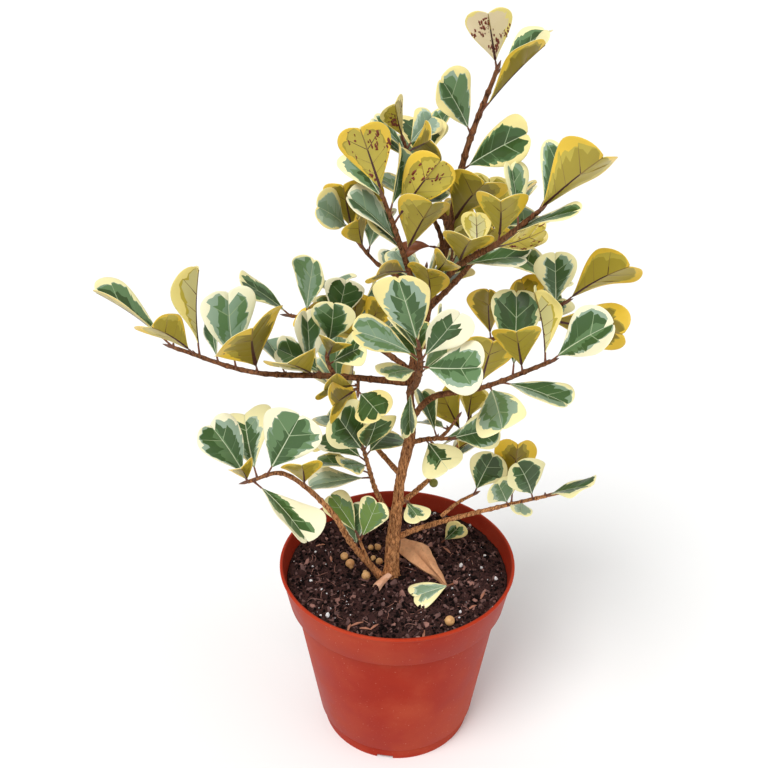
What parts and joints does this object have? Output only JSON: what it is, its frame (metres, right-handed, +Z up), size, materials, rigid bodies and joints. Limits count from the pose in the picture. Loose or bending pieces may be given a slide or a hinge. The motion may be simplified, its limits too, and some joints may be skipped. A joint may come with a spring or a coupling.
{
  "type": "potted variegated ficus",
  "caption": "Small ficus shrub with cream-edged triangular leaves, standing in a round tapered plastic nursery pot filled with soil.",
  "frame": {"origin": "centre of the pot's flat underside", "axes": "+Z up, +X to the right of the view from the front, and the front looks along +Y"},
  "size_m": [0.327, 0.2036, 0.5109],
  "materials": {
    "terracotta_plastic": "satin",
    "potting_soil": "matte",
    "bark": "matte",
    "ficus_leaf": "satin"
  },
  "bodies": {
    "root": {"pot": "terracotta_plastic", "soil": "potting_soil", "trunk": "bark", "bough_back_low_left": "bark", "bough_back_middle": "bark", "bough_back_right": "bark", "bough_back_upper": "bark", "bough_centre": "bark", "bough_foot": "bark", "bough_fork_right": "bark", "bough_left": "bark", "bough_left_back": "bark", "bough_left_inner": "bark", "bough_low_back": "bark", "bough_lower_left": "bark", "bough_lower_middle": "bark", "bough_lower_right": "bark", "bough_lower_right_side": "bark", "bough_right": "bark", "bough_right_back": "bark", "bough_upper_left": "bark", "bough_upper_left_side": "bark", "bough_upper_middle": "bark", "bough_upper_right": "bark", "foliage_back_low_left": "ficus_leaf", "foliage_back_middle": "ficus_leaf", "foliage_back_right": "ficus_leaf", "foliage_back_upper": "ficus_leaf", "foliage_centre": "ficus_leaf", "foliage_crotch": "ficus_leaf", "foliage_foot": "ficus_leaf", "foliage_fork_right": "ficus_leaf", "foliage_left": "ficus_leaf", "foliage_left_back": "ficus_leaf", "foliage_left_inner": "ficus_leaf", "foliage_left_low": "ficus_leaf", "foliage_low_back": "ficus_leaf", "foliage_lower_left": "ficus_leaf", "foliage_lower_middle": "ficus_leaf", "foliage_lower_right": "ficus_leaf", "foliage_lower_right_side": "ficus_leaf", "foliage_right": "ficus_leaf", "foliage_right_back": "ficus_leaf", "foliage_sprig": "ficus_leaf", "foliage_top": "ficus_leaf", "foliage_upper_left": "ficus_leaf", "foliage_upper_left_side": "ficus_leaf", "foliage_upper_middle": "ficus_leaf", "foliage_upper_right": "ficus_leaf"}
  },
  "joints": []
}
